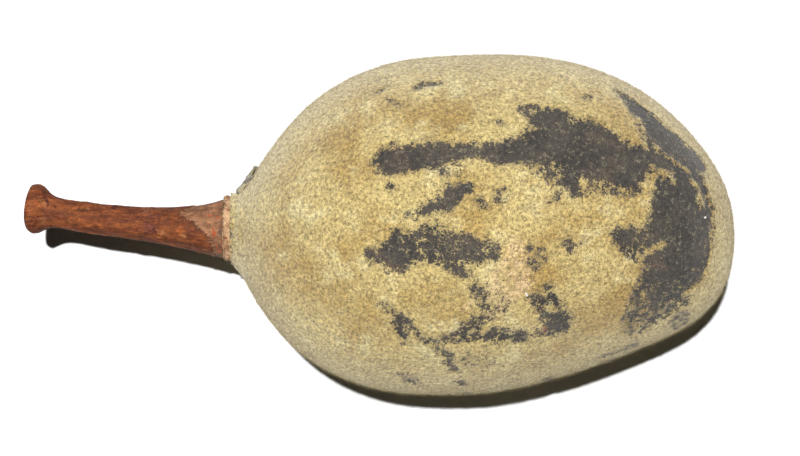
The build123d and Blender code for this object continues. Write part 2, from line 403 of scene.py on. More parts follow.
# %% Strokes on the top: from x, y to x, y, half widths, depth
DEEP = 8.0
top_strokes = [
    # the long band and its round end
    (4.0, 22.4, 21.5, 24.2, 5.3, 5.1, DEEP), (-1.4, 21.6, 3.0, 22.0, 1.2, 3.2, 0.4),
    (21.5, 24.0, 32.5, 26.2, 4.7, 2.6, DEEP), (32.5, 25.8, 42.9, 25.1, 2.3, 4.4, DEEP),
    (42.9, 25.1, 55.7, 27.2, 4.6, 5.8, DEEP), (23.0, 18.5, 28.0, 17.5, 1.2, 0.8, 0.3),
    # the big mass towards the tip
    (56.4, 36.8, 63.7, 37.8, 4.4, 4.2, DEEP), (50.0, 40.6, 56.0, 39.6, 1.3, 2.6, 0.6),
    (57.0, 28.6, 73.0, 27.0, 6.6, 11.4, DEEP), (73.0, 27.4, 86.5, 20.6, 11.4, 9.0, DEEP),
    (66.5, 17.0, 69.0, 12.0, 3.8, 2.2, DEEP), (63.0, 10.0, 60.0, 8.0, 0.9, 0.6, 0.2),
    (74.0, 12.4, 90.0, 12.6, 1.8, 2.4, 0.1), (56.0, 21.0, 62.0, 16.0, 2.8, 2.4, 0.1),
    (86.5, 21.4, 97.4, 23.5, 7.4, 4.4, DEEP), (95.0, 24.0, 106.0, 23.0, 4.2, 6.0, DEEP),
    # the band along the shoulder
    (85.2, 46.9, 92.2, 40.8, 1.2, 4.6, DEEP), (92.2, 40.8, 99.8, 31.2, 4.6, 9.2, DEEP),
    (99.8, 31.2, 106.5, 25.0, 9.0, 8.8, DEEP), (106.5, 25.0, 113.8, 22.4, 8.4, 5.0, DEEP),
    # the dark end
    (105.6, 21.0, 106.2, 5.6, 8.0, 12.0, DEEP), (106.2, 5.6, 105.0, -9.0, 12.0, 13.2, 3.0),
    (104.6, -9.0, 102.6, -18.2, 13.0, 11.6, 1.6), (102.0, -18.2, 98.6, -26.1, 11.2, 11.0, 0.45),
    (98.6, -26.1, 93.0, -33.0, 10.4, 7.6, -0.1), (111.5, 16.0, 113.4, 4.0, 6.0, 7.6, DEEP),
    (113.4, 4.0, 110.8, -16.1, 8.0, 7.0, 1.5), (98.3, -26.0, 91.3, -30.9, 5.0, 3.0, 0.1),
    (83.6, -3.4, 96.0, -4.6, 2.2, 4.8, 1.2), (84.0, -5.6, 90.0, -9.4, 2.0, 3.0, 0.8),
    (104.0, -24.5, 108.0, -35.1, 6.0, 3.0, -0.2), (80.0, -46.8, 90.0, -43.6, 1.0, 2.4, -0.2),
    # the slanted patch and its neighbours
    (30.8, 12.9, 25.6, 10.1, 2.4, 3.3, DEEP), (25.6, 10.1, 24.2, 6.0, 3.3, 2.4, DEEP),
    (24.0, 8.0, 16.2, 4.5, 2.4, 2.0, DEEP), (35.3, 8.6, 36.0, 7.8, 1.3, 1.3, 1.0),
    (42.5, 10.6, 43.0, 9.6, 1.5, 1.5, -0.1), (11.0, 3.4, 13.5, 2.2, 1.0, 0.8, 0.1),
    # the patch in the middle of the belly side
    (-1.6, -10.2, 5.4, -10.6, 2.4, 5.0, DEEP), (7.8, -3.2, 6.8, -11.8, 2.0, 4.8, DEEP),
    (8.2, -7.6, 22.1, -6.9, 5.0, 6.2, 0.8), (22.1, -7.6, 39.6, -9.2, 6.0, 3.4, 1.2),
    (25.5, -13.8, 31.2, -17.1, 2.6, 1.4, 1.0), (17.0, -1.8, 20.0, -1.6, 2.0, 2.0, 0.8),
    # the forked scratch and the wriggle
    (2.0, -27.8, 7.8, -32.6, 0.8, 1.6, 3.0), (8.2, -33.0, 9.2, -39.4, 2.2, 1.7, 3.0),
    (9.4, -33.2, 13.4, -37.3, 1.4, 0.8, 2.0), (13.4, -37.3, 18.0, -41.5, 0.4, 0.3, 0.2),
    (19.3, -40.8, 22.1, -44.1, 1.0, 1.1, 2.0), (22.1, -44.1, 25.3, -45.7, 1.1, 1.3, 2.0),
    (25.3, -45.7, 26.0, -48.8, 1.3, 1.3, 2.0), (26.0, -48.8, 27.6, -51.3, 1.3, 1.1, 2.0),
    (23.6, -40.0, 32.5, -37.3, 1.6, 3.6, 0.7), (32.5, -37.6, 35.6, -33.4, 3.4, 2.2, 0.8),
    (33.9, -21.8, 37.4, -27.8, 1.8, 1.6, 0.5), (37.4, -27.8, 39.6, -32.6, 1.5, 1.2, 0.4),
    (42.4, -27.2, 43.6, -28.2, 3.2, 2.6, -0.5), (41.6, -38.5, 50.6, -39.4, 3.6, 2.3, 1.6),
    (34.0, -46.8, 38.0, -47.9, 3.4, 2.6, -0.7),
    # the fork with two prongs
    (52.9, -25.2, 58.6, -31.6, 0.8, 1.2, 2.0), (55.0, -24.3, 57.7, -26.7, 1.2, 1.3, 2.0),
    (59.3, -21.4, 61.0, -25.6, 0.9, 1.2, 1.0), (61.0, -26.0, 66.0, -31.7, 1.3, 1.9, 2.0),
    (59.2, -32.4, 66.0, -32.6, 1.9, 2.4, 3.0), (61.6, -35.1, 64.6, -36.2, 3.6, 3.2, 3.0),
    (56.6, -37.3, 61.0, -38.1, 1.4, 1.7, 1.5), (56.8, -10.6, 54.4, -13.4, 1.9, 2.2, 0.0),
    (53.0, -8.0, 53.4, -8.6, 0.9, 0.7, 0.4),
    # small spots and faint dashes
    (65.7, -6.3, 67.6, -8.2, 1.2, 1.3, 1.0), (71.6, -6.0, 72.0, -6.4, 1.0, 0.9, 0.4),
    (0.0, 51.1, 4.3, 52.5, 0.3, 0.4, 0.3), (0.2, 46.8, 4.3, 48.9, 0.3, 0.3, 0.2),
    (13.3, 47.3, 15.2, 49.3, 0.8, 0.8, 0.6), (15.2, 49.3, 22.0, 50.2, 0.8, 0.8, 0.6),
    (4.2, 43.9, 8.5, 42.0, 0.4, 0.4, 0.0), (72.7, 44.4, 74.3, 45.2, 0.4, 0.4, 0.3),
    (9.1, -52.5, 12.6, -55.7, 0.3, 0.3, 0.2), (12.0, -52.5, 14.6, -56.1, 0.3, 0.3, 0.2),
    (30.0, -55.9, 30.6, -56.6, 1.2, 1.1, 0.6), (32.0, -60.2, 32.6, -60.6, 1.1, 1.0, 0.6),
    (61.0, -54.9, 62.4, -55.5, 1.6, 1.3, 0.6), (73.0, -52.5, 82.0, -48.7, 1.6, 1.4, 0.0),
    (43.0, 36.0, 45.0, 34.5, 0.7, 0.5, -0.2), (4.0, 14.0, 5.0, 13.0, 0.4, 0.4, -0.1),
]
# Hairs that were left standing inside the bare places: x, y to x, y, half widths
top_tufts = [
    (92.4, 37.0, 94.0, 29.4, 1.5, 0.7), (97.8, 27.8, 99.0, 27.0, 1.1, 1.0),
    (101.4, 24.8, 106.4, 21.6, 0.5, 0.8), (108.4, 20.4, 110.0, 19.0, 0.5, 0.5),
    (96.6, 19.6, 103.0, 17.0, 0.8, 1.6), (114.0, 9.4, 114.6, 6.6, 1.6, 1.4),
    (91.0, -11.0, 100.0, -7.0, 0.9, 1.1), (111.0, 16.0, 113.4, 13.0, 0.7, 0.9),
]
# A rosy scratched place where the hairs are only thinned, and rusty scabs on the bare skin
top_scratches = [
    (48.0, -7.0, 50.0, -19.0, 3.6, 5.2), (50.0, -19.0, 41.0, -31.0, 4.6, 2.6),
    (44.0, -12.0, 40.0, -24.0, 2.4, 3.4), (51.6, -20.0, 58.0, -33.0, 1.6, 1.2),
    (36.0, -22.0, 30.0, -30.0, 1.6, 1.0),
]
top_scabs = [
    (58.2, -35.8, 58.8, -37.0, 0.7, 0.9), (93.8, -14.0, 99.0, -14.6, 0.1, 0.3),
    (97.0, -13.0, 102.4, -15.4, 0.0, 0.2),
]
print("strokes on the top:", len(top_strokes), "tufts:", len(top_tufts))

# %% [markdown]
# The belly and the flanks are worn too, in the same wandering manner. There nobody needs an exact
# place, so seeded chance walks over the surface and leaves strokes behind it.

# %% Strokes on the belly and the flanks
PATCHES_BELOW = 15
REACH_ALONG = 1.1  # with these two, a share of 1 along the pod lies near its tip
REACH_ACROSS = 0.72
chance = random.Random(11)


def on_top(x, y):
    """The place on the coat straight below the point x, y, given in millimetres."""
    hit = coat_tree.ray_cast(Vector((x * MM, y * MM, 1.0)), Vector((0, 0, -1)))[0]
    return hit if hit is not None else onto_pod(Vector((x * MM - pod_centre.x, y * MM, 0)).normalized())


def wandering_patch(angle, share):
    """A chain of strokes from an angle round the pod and a share of its half length."""
    strokes = []
    heading = chance.uniform(-0.5, 0.5)
    width = chance.uniform(1.0, 5.0)
    depth = chance.choice([DEEP, DEEP, 0.6, 0.2])
    here = None
    for _ in range(chance.randint(2, 5)):
        across = Vector((0, math.cos(angle), math.sin(angle)))
        place = onto_pod((pod_along * share * REACH_ALONG + across * REACH_ACROSS).normalized())
        next_width = max(0.6, width * chance.uniform(0.6, 1.35))
        if here is not None:
            strokes.append((here, place, width, next_width, depth))
        here, width = place, next_width
        heading += chance.uniform(-0.9, 0.9)
        share += math.cos(heading) * chance.uniform(0.04, 0.12)
        angle += math.sin(heading) * chance.uniform(0.08, 0.25)
    return strokes


bare_strokes = [(on_top(a, b), on_top(c, d), r, s, depth) for a, b, c, d, r, s, depth in top_strokes]


def all_deep(strokes):
    """Strokes without a depth of their own, laid on the coat as deep ones."""
    return [(on_top(a, b), on_top(c, d), r, s, DEEP) for a, b, c, d, r, s in strokes]


# The two kinds of stroke that decide how bare a place is
tuft_strokes = all_deep(top_tufts)
for number in range(PATCHES_BELOW):
    # from a little below one flank, under the belly, to a little below the other
    start_angle = -math.pi * (0.1 + 0.8 * (number + chance.random()) / PATCHES_BELOW)
    bare_strokes += wandering_patch(start_angle, chance.uniform(-0.85, 0.75))
print("all strokes:", len(bare_strokes))

# %% [markdown]
# ## Rubbing and roughening the coat
# For every corner of the coat, `bareness` is how many millimetres it lies inside a stroke: positive
# on bare shell, negative under velvet. Noise makes the edges ragged, and tufts are cut out again.

# %% Bareness of any set of points
def inside_strokes(points, strokes):
    """The largest depth inside any stroke, in millimetres, for an array of points."""
    deepest = np.full(len(points), -DEEP)
    for start, end, start_width, end_width, depth in strokes:
        first, run = np.array(start), np.array(end - start)
        share = np.clip((points - first) @ run / max(run @ run, 1e-12), 0, 1)
        away = np.linalg.norm(points - first - share[:, None] * run, axis=1) / MM
        inside = start_width + share * (end_width - start_width) - away
        deepest = np.maximum(deepest, np.minimum(inside, depth))
    return deepest


def wander(point, size, seed=0.0):
    """Smooth noise about zero whose clouds are this many millimetres across."""
    return noise.noise(point / (size * MM) + Vector((seed, seed, seed)))


RAGGED_EDGES = ((1.1, 3.5, 0.0), (0.7, 1.4, 3.1))  # height, size and seed of two noises
TUFT_RAGGEDNESS = 0.3  # tufts are small, so their edges get only this share of it


def bareness(points):
    """How bare the coat is at each point, with ragged edges and with the tufts left standing."""
    worn = inside_strokes(points, bare_strokes)
    tufts = inside_strokes(points, tuft_strokes)
    ragged = np.array([
        sum(height * wander(Vector(p), size, seed) for height, size, seed in RAGGED_EDGES)
        for p in points])
    return np.minimum(worn + ragged, np.maximum(-tufts + TUFT_RAGGEDNESS * ragged, -DEEP))


# %% [markdown]
# The coat now sinks where it is bare, by the depth of the pile, and the velvet lies in low lumps. The
# corners keep how bare, scratched or scabbed they are, and the colours read that from them. Moving
# the corners, instead of painting a bump, gives the edges of the patches a real step.

# %% Sink the bare places and let the velvet lie unevenly
COAT_DEPTH = 0.55
HAIR_LUMPS = 0.16
HAIR_LUMP_SIZE = 2.2
BROAD_LUMPS = 0.5
BROAD_LUMP_SIZE = 32
BROAD_LUMP_SHIFT = 0.35  # the broad lumps mostly lower the coat, which keeps it inside the solid
DEEPEST_SINK = -0.7
SLOPE_START = 0.5  # the coat begins to sink this far outside the bare edge
SCRATCH_FADE = 3  # mm over which a scratched place fades in
SCRATCH_RIM, SCAB_RIM = 0.3, 0.2  # how strong each still is on the rim of its stroke
coat_bm.verts.ensure_lookup_table()
coat_bm.normal_update()
coat_points = np.array([corner.co[:] for corner in coat_bm.verts])
coat_bare = bareness(coat_points)
bare_layer = coat_bm.verts.layers.float.new("bare")
scratch_layer = coat_bm.verts.layers.float.new("scratched")
scab_layer = coat_bm.verts.layers.float.new("scab")
scratches = np.clip(inside_strokes(coat_points, all_deep(top_scratches)) / SCRATCH_FADE + SCRATCH_RIM, 0, 1)
scabs = np.clip(inside_strokes(coat_points, all_deep(top_scabs)) + SCAB_RIM, 0, 1)
for corner, bare, scratch, scab in zip(coat_bm.verts, coat_bare, scratches, scabs):
    corner[scratch_layer] = scratch * (0.5 + 0.7 * wander(corner.co, 2.0))
    corner[scab_layer] = scab
    worn_share = min(max(bare + SLOPE_START, 0.0), 1.0)
    hair_lumps = HAIR_LUMPS * wander(corner.co, HAIR_LUMP_SIZE) * (1 - worn_share)
    lumps = hair_lumps + BROAD_LUMPS * (wander(corner.co, BROAD_LUMP_SIZE) - BROAD_LUMP_SHIFT)
    corner[bare_layer] = bare
    corner.co += corner.normal * max(lumps - COAT_DEPTH * worn_share, DEEPEST_SINK) * MM
    corner.co.z = max(corner.co.z, 0.0)
print("bare corners:", int((coat_bare > 0).sum()), "of", len(coat_bare))

# %% [markdown]
# Every piece ends alike: its mesh becomes an object, rides on its body of the frame, hides the plain
# solids that it stands for, and names the finish that it belongs to.

# %% Smooth faces and finished pieces
def smooth_faces(bm):
    for face in bm.faces:
        face.smooth = True


def make_piece(bm, name, body, material, stands_for):
    """Turns a bmesh into a finished piece that rides on a body of the frame."""
    mesh = bpy.data.meshes.new(name)
    bm.to_mesh(mesh)
    bm.free()
    piece = bpy.data.objects.new(name, mesh)
    bpy.context.scene.collection.objects.link(piece)
    mesh.materials.append(material)
    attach(piece, body)
    for node_name in stands_for:
        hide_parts(node_name)
    print(name, "faces:", len(mesh.polygons))
    return piece


# %% [markdown]
# ## Colouring the velvet and the bare shell
# The hairs are straw yellow, with ochre clouds where they are matted. Steep faces are painted paler,
# a painted sheen where the light grazes the hairs, and the lower part is painted greyer and a little
# darker, a painted shade where less light falls. The bare skin of the shell is a grained dark
# grey-brown with rusty clouds, and stubs of hair are left on it. How bare a place is, broken up by
# fine noise, decides between the two, so that the edge is a fringe of hairs.

# %% Velvet material
SHEEN = 0.12
PAINTED_SHADE_BELOW, PAINTED_SHADE_ENDS_ABOVE = 35 * MM, 88 * MM


def velvet_colour(tree, place):
    """Straw with ochre and pale clouds, and painted shade that makes it greyer and darker low down."""
    ochre_clouds = mottle(tree, place, 38, 0.40, 0.64)
    straw = blend_colours(tree, ochre_clouds, shade(206, 184, 122), shade(178, 148, 84))
    pale = blend_colours(tree, mottle(tree, place, 95, 0.50, 0.72), straw, shade(222, 206, 150))
    height = add_node(tree, "ShaderNodeSeparateXYZ", {"Vector": place}).outputs["Z"]
    # painted shade: the velvet is painted greyer and a little darker low down, where less light falls
    low = soft_step(tree, height, PAINTED_SHADE_BELOW, PAINTED_SHADE_ENDS_ABOVE, 0.75, 0.0)
    return blend_colours(tree, low, pale, shade(168, 160, 124))


def make_coat_material():
    """Velvet and bare skin in one material, because the edge between them is a mix of both."""
    material, tree, place = start_material("velvet and bare shell")
    fine = grain(tree, place, 1700)
    # the velvet
    facing = add_node(tree, "ShaderNodeNewGeometry").outputs["Normal"]
    up = add_node(tree, "ShaderNodeSeparateXYZ", {0: facing}).outputs["Z"]
    # painted sheen: faces that lean away from upright are painted paler, as light grazing the hairs looks
    painted_sheen_on_steep_faces = soft_step(tree, up, 0.85, 0.15, 0.0, 0.85)
    straw = blend_colours(tree, painted_sheen_on_steep_faces, velvet_colour(tree, place), shade(244, 226, 174))
    scratched = blend_colours(tree, stored(tree, "scratched"), straw, shade(228, 196, 150))
    hairs = brighten(tree, scratched, grain(tree, place, 2800).outputs["Value"], 5.0)
    # the bare skin
    skin = blend_colours(tree, mottle(tree, place, 60, 0.4, 0.6), shade(54, 48, 41), shade(75, 67, 57))
    rusty = blend_colours(tree, mottle(tree, place, 45, 0.56, 0.74), skin, shade(102, 82, 64))
    grainy = brighten(tree, rusty, grain(tree, place, 2300).outputs["Value"], 4.6)
    stubs = soft_step(tree, fine.outputs["Value"], 0.04, 0.14, 0.0, 0.75)
    stubbly = blend_colours(tree, stubs, grainy, shade(150, 138, 112))
    # which of the two shows
    bare = stored(tree, "bare")
    ragged = calculate(tree, "MULTIPLY", grain(tree, place, 1500).outputs["Value"], 15.0)
    worn = soft_step(tree, calculate(tree, "ADD", bare, ragged), -0.6, 0.6)
    scuffed = soft_step(tree, bare, -1.8, 0.2, 0.0, 0.4)
    edge = blend_colours(tree, scuffed, hairs, shade(150, 132, 94))
    covered = blend_colours(tree, worn, edge, stubbly)
    colour = blend_colours(tree, stored(tree, "scab"), covered, shade(150, 82, 46))
    roughness = soft_step(tree, worn, 0, 1, 0.95, 0.66)
    end_material(tree, colour, roughness, fine.outputs["Height"], 0.0004, SHEEN)
    return material


smooth_faces(coat_bm)
coat = make_piece(coat_bm, "coat", "pod", make_coat_material(), ["velvet_coat"])

# %% [markdown]
# ## The hairs that stand up
# Most of the pile lies matted, and the coat's colour and bump show that. What makes velvet look soft
# is the loose hairs above it, which catch the light and blur the outline. Each one is a thin spike
# of four faces. An operator makes the first spike, and the rest are turned copies of it, placed in
# one go as arrays, because a hundred thousand single operator calls would take minutes.

# %% Hair material
def make_hair_material():
    """Each hair keeps its own tone, from dark through the velvet's colour to nearly white."""
    material, tree, place = start_material("loose straw hairs")
    tone = stored(tree, "tone")
    dark_end = soft_step(tree, tone, 0.0, 0.55)
    straw = blend_colours(tree, dark_end, shade(140, 112, 62), velvet_colour(tree, place))
    colour = blend_colours(tree, soft_step(tree, tone, 0.5, 1.0), straw, shade(240, 228, 186))
    end_material(tree, colour, 0.75, grain(tree, place, 2500).outputs["Height"], 0.00005, sheen=0.2)
    return material


# %% One spike and its copies
def make_spike():
    """The corners and faces of a spike one unit long and one unit thick, standing on the origin."""
    bm = bmesh.new()
    bmesh.ops.create_cone(bm, cap_ends=True, segments=3, radius1=0.5, radius2=0, depth=1)
    bmesh.ops.remove_doubles(bm, verts=bm.verts, dist=1e-4)
    bmesh.ops.triangulate(bm, faces=bm.faces)
    bmesh.ops.translate(bm, verts=bm.verts, vec=(0, 0, 0.5))
    corners = np.array([corner.co[:] for corner in bm.verts])
    faces = np.array([[corner.index for corner in face.verts] for face in bm.faces])
    bm.free()
    return corners, faces


def coat_faces():
    """Middles, normals, areas and bareness of the coat's faces."""
    mesh = coat.data
    count = len(mesh.polygons)
    middles, normals, areas = np.empty(count * 3), np.empty(count * 3), np.empty(count)
    mesh.polygons.foreach_get("center", middles)
    mesh.polygons.foreach_get("normal", normals)
    mesh.polygons.foreach_get("area", areas)
    corners = np.empty(len(mesh.vertices))
    mesh.attributes["bare"].data.foreach_get("value", corners)
    first = np.array([polygon.vertices[0] for polygon in mesh.polygons])
    return middles.reshape(-1, 3), normals.reshape(-1, 3), areas, corners[first]


# %% [markdown]
# Hairs are thick on the velvet and nearly gone on the bare shell, so each face of the coat gets a
# chance by its area and by how bare it is. Hands have combed the pile, so every hair leans from
# upright by its own angle, mostly the same way. Seeded chance makes each run grow the same hairs.

# %% Where the hairs stand and how they lean
FULL_PILE = 1.2  # mm inside the velvet where the pile is at its thickest
BALD_SHARE = 0.03  # how much of the full pile still stands on the bare shell
CLEAR_OF_MOUTH = 4 * MM
COMBED_WAY = np.array([-0.5, -0.2, 0.1])  # most hairs are stroked towards the stalk
COMBED_SHARE = 0.9
LEAN_SPREAD = 14
ROOT_JITTER = 0.6
ROOT_DEPTH = 0.15
SHORTEST, LONGEST = 0.6, 1.4  # as shares of the mean length


def unit(rows):
    """The same directions, each one unit long."""
    return rows / np.linalg.norm(rows, axis=1)[:, None]


def place_hairs(rng, count, length, lean):
    """The root, heading, side and reach of each hair that stays above the table."""
    middles, normals, areas, bare = coat_faces()
    share = areas * (np.clip(-bare / FULL_PILE, 0, 1) + BALD_SHARE)
    share[np.abs(middles[:, 0] - stalk_foot) < CLEAR_OF_MOUTH] = 0
    chosen = rng.choice(len(areas), count, p=share / share.sum())
    normal = normals[chosen]
    combed = COMBED_WAY - normal * (normal @ COMBED_WAY)[:, None]
    aside = unit(unit(np.cross(normal, rng.normal(size=(count, 3)))) + COMBED_SHARE * combed)
    angle = np.radians(rng.normal(lean, LEAN_SPREAD, count))[:, None]
    heading = normal * np.cos(angle) + aside * np.sin(angle)
    side = unit(np.cross(heading, normal + 0.01))
    jitter = rng.uniform(-ROOT_JITTER, ROOT_JITTER, (count, 3)) * MM
    jitter -= normal * np.sum(jitter * normal, axis=1)[:, None]
    root = middles[chosen] + jitter - normal * ROOT_DEPTH * MM
    reach = (length * rng.uniform(SHORTEST, LONGEST, count) * MM)[:, None]
    keep = (root + heading * reach)[:, 2] > 0.0
    return root[keep], heading[keep], side[keep], reach[keep]


# %% Grow the hairs
def grow_hairs(name, count, length, thickness, lean, seed):
    """Loose hairs over the velvet: mean length and thickness in mm, lean in degrees from upright."""
    rng = np.random.default_rng(seed)
    root, heading, side, reach = place_hairs(rng, count, length, lean)
    spike, faces = make_spike()
    along = spike[None, :, 2:3] * (heading * reach)[:, None, :]
    sideways = spike[None, :, 0:1] * thickness * MM * side[:, None, :]
    other_way = spike[None, :, 1:2] * thickness * MM * np.cross(heading, side)[:, None, :]
    corners = root[:, None, :] + along + sideways + other_way
    numbers = faces[None] + (np.arange(len(root)) * len(spike))[:, None, None]
    mesh = bpy.data.meshes.new(name)
    mesh.from_pydata(corners.reshape(-1, 3).tolist(), [], numbers.reshape(-1, 3).tolist())
    tone = mesh.attributes.new("tone", "FLOAT", "POINT")
    tone.data.foreach_set("value", np.repeat(rng.beta(1.6, 1.8, len(root)), len(spike)))
    mesh.materials.append(hair_material)
    piece = bpy.data.objects.new(name, mesh)
    bpy.context.scene.collection.objects.link(piece)
    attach(piece, "pod")
    print(name, "hairs:", len(root))


hair_material = make_hair_material()
grow_hairs("matted_hairs", 45000, length=1.2, thickness=0.13, lean=74, seed=3)
grow_hairs("lying_hairs", 45000, length=1.4, thickness=0.11, lean=62, seed=4)
grow_hairs("standing_hairs", 30000, length=1.3, thickness=0.08, lean=40, seed=5)

# %% [markdown]
# Two painted highlights: two small white bits, each under two millimetres long, sit in the hairs where
# glints of light show. A small ball, dented by noise, drawn out and flattened, is enough for each, and they
# ride with the coat.

# %% Two painted white glints
GLINT_RADIUS = 0.42
GLINT_LIFT = 0.2
GLINT_DENTS = 0.3
GLINT_DENT_SIZE = 0.3
glint_bits = [(51.9, -24.0, 2.1, 2.0), (115.4, 2.6, 0.4, 1.1)]  # x, y, turn, how far it is drawn out
# painted highlights: near-white bits that stand for glints of light on the coat
glint_material, glint_tree, glint_place = start_material("painted white glints")
glint_clouds = mottle(glint_tree, glint_place, 900, 0.4, 0.6)
glint_white = blend_colours(glint_tree, glint_clouds, shade(250, 246, 238), shade(222, 214, 200))
end_material(glint_tree, glint_white, 0.6, grain(glint_tree, glint_place, 2500).outputs["Height"], 0.0001)
for number, (x, y, turn, drawn_out) in enumerate(glint_bits):
    glint_bm = bmesh.new()
    bmesh.ops.create_icosphere(glint_bm, subdivisions=3, radius=GLINT_RADIUS * MM)
    for corner in glint_bm.verts:
        corner.co *= 1 + GLINT_DENTS * wander(corner.co, GLINT_DENT_SIZE)
    bmesh.ops.scale(glint_bm, verts=glint_bm.verts, vec=(drawn_out, 0.8, 0.6))
    bmesh.ops.rotate(glint_bm, verts=glint_bm.verts, matrix=Matrix.Rotation(turn, 3, "Z"))
    bmesh.ops.translate(glint_bm, verts=glint_bm.verts, vec=on_top(x, y) + Vector((0, 0, GLINT_LIFT * MM)))
    make_piece(glint_bm, f"painted_glint_{number + 1}", "pod", glint_material, [])

# %% [markdown]
# ## The stalk
# The stalk is a tough twig in red-brown bark. The bark is torn off near the pod, where the twig
# swells into a grey cracked collar, and a pale ring marks where the flower's cup once stood. Each
# part starts as an even copy of its plain solid, and its skin is then moved in and out by noise. The
# voxel remesh makes that copy, because the solid's own triangles are long and thin and can't bend.

# %% Even copies of plain solids
def merged_copy(node_name):
    """The node's own mesh with its loose triangles joined up."""
    bm = bmesh.new()
    bm.from_mesh(frame["nodes"][node_name].data)
    bmesh.ops.remove_doubles(bm, verts=bm.verts, dist=0.001 * MM)
    return bm


def even_copy(node_name, face_size):
    """The node's form in small even faces, made by a voxel remesh."""
    bm = merged_copy(node_name)
    mesh = bpy.data.meshes.new(node_name + "_source")
    bm.to_mesh(mesh)
    bm.free()
    holder = bpy.data.objects.new(node_name + "_source", mesh)
    bpy.context.scene.collection.objects.link(holder)
    remesh = holder.modifiers.new("even faces", "REMESH")
    remesh.mode = "VOXEL"
    remesh.voxel_size = face_size * MM
    even = bpy.data.meshes.new_from_object(holder.evaluated_get(bpy.context.evaluated_depsgraph_get()))
    bpy.data.objects.remove(holder)
    result = bmesh.new()
    result.from_mesh(even)
    return result


# %% [markdown]
# The stalk is bent, so "round the stalk" has to be measured from its own middle line. Cuts across the
# solid bark give the line: the middle of each cut is a point on it.

# %% The stalk's middle line
CUTS = 12
CLEAR_OF_KNOB = 9 * MM  # the end is slanted and knobbed, so the first cut stays clear of it
CLEAR_OF_POD = 1 * MM


def find_middles(node_name, stations):
    """The middle of the node's cross-section at each station along X."""
    middles = []
    for x in stations:
        bm = merged_copy(node_name)
        geometry = bm.verts[:] + bm.edges[:] + bm.faces[:]
        cut = bmesh.ops.bisect_plane(bm, geom=geometry, plane_co=(x, 0, 0), plane_no=(1, 0, 0))
        loop = [part.co.copy() for part in cut["geom_cut"] if isinstance(part, bmesh.types.BMVert)]
        middles.append(sum(loop, Vector()) / len(loop))
        bm.free()
    return middles


bark_low, bark_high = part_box("stalk_bark")
stalk_stations = np.linspace(bark_low[0] + CLEAR_OF_KNOB, bark_high[0] - CLEAR_OF_POD, CUTS)
stalk_middles = find_middles("stalk_bark", stalk_stations)
stalk_end = bark_low[0]
print("stalk middle at its end, mm:", [round(c / MM, 1) for c in stalk_middles[0]])


def stalk_middle(x):
    """The middle line at x, carried on straight past its first cut."""
    y = np.interp(x, stalk_stations, [middle.y for middle in stalk_middles])
    z = np.interp(x, stalk_stations, [middle.z for middle in stalk_middles])
    slope = (stalk_middles[0] - stalk_middles[1]) / (stalk_stations[0] - stalk_stations[1])
    past = min(x - stalk_stations[0], 0.0)
    return Vector((x, y + slope.y * past, z + slope.z * past))


def stalk_place(point):
    """Distance from the pod in mm, angle round the stalk, and the outward direction."""
    out = point - stalk_middle(point.x)
    return (stalk_foot - point.x) / MM, math.atan2(out.z, out.y), out.normalized()


# %% [markdown]
# Old bark has long ridges, cracks between them, thin flakes, grit and a few knots where leaves once
# sat. Each is a noise of its own, drawn out along the stalk, and the heights are added up. The knob
# at the outer end is where the stalk broke off the branch, and its scar is slanted.

# %% How the stalk's surface rises and falls
BARK_LENGTH = (stalk_foot - stalk_end) / MM
END_LENGTH = 14  # mm from the end where the slant and the knob begin
END_RAMP = 12  # mm over which they grow
SCAR_SLANT = 0.05
KNOB_SWELL = 0.8
# Knots: distance from the pod, angle, width and height
bark_knots = [(47, 1.9, 2.4, 0.7), (33, 0.9, 1.8, 0.6), (27, 2.3, 2.2, 0.8), (40, 2.8, 1.5, 0.5),
              (19, 1.4, 2.4, 0.6), (55, 0.6, 2.0, 0.4), (30, -1.2, 2.6, 0.7), (50, -2.0, 2.2, 0.6)]


def bark_relief(s, angle):
    """Height of the bark in mm: long ridges, cracks between them, flakes and knots."""
    ring = Vector((math.cos(angle), math.sin(angle), 0))
    ridges = 0.55 * noise.noise(ring * 1.5 + Vector((0, 0, s * 0.045)))
    cracks = -0.3 * max(0.0, 1 - abs(noise.noise(ring * 2.4 + Vector((5, 0, s * 0.07)))) / 0.07)
    flakes = 0.22 * noise.noise(ring * 4.5 + Vector((0, 9, s * 0.35)))
    grit = 0.12 * noise.noise(ring * 10 + Vector((3, 0, s * 1.3)))
    knots = 0.0
    for knot_s, knot_angle, width, height in bark_knots:
        turn = (angle - knot_angle + math.pi) % (2 * math.pi) - math.pi
        away = ((s - knot_s) / width) ** 2 + (turn * 5.5 / width) ** 2
        knots += height * (math.exp(-away) - 0.35 * math.exp(-5 * away))
    return ridges + cracks + flakes + grit + knots


def bend_end(point, s, angle):
    """The scar at the end is slanted, and the knob swells most on its +Y side."""
    near_end = min(max((s - BARK_LENGTH + END_LENGTH) / END_RAMP, 0.0), 1.0)
    across = (point.y - stalk_middle(point.x).y) / MM
    point.x -= SCAR_SLANT * near_end ** 3 * across * MM
    point.y += KNOB_SWELL * near_end ** 2 * max(math.cos(angle), 0.0) * MM


# %% [markdown]
# The bark ends near the pod in a torn edge, and is stripped back furthest on the upper side. The torn
# part sinks by the bark's thickness, so the edge is a real ledge. Bark and swelling are carved alike,
# and each corner keeps its height, its distance from the edge and from the pod for the colours.

# %% Carve the stalk
TORN_EDGE = 8.0  # mm from the pod where the bark ends, on the lower side
STRIPPED_UPPER = 11.5  # this much further on the upper side
EDGE_TEARS = 2.6
BARK_THICKNESS = 0.6
LEDGE_WIDTH = 0.8
RELIEF_SHARE = 0.8
END_BAND = 0.85  # mm of the outer end that is drawn out under its neighbour


def torn_edge(angle):
    """How far from the pod the bark ends, in mm."""
    upper = max(0.0, math.cos(angle - 0.85)) ** 2
    rough = noise.noise(Vector((math.cos(angle) * 2.2, math.sin(angle) * 2.2, 4.0)))
    return TORN_EDGE + STRIPPED_UPPER * upper + EDGE_TEARS * rough


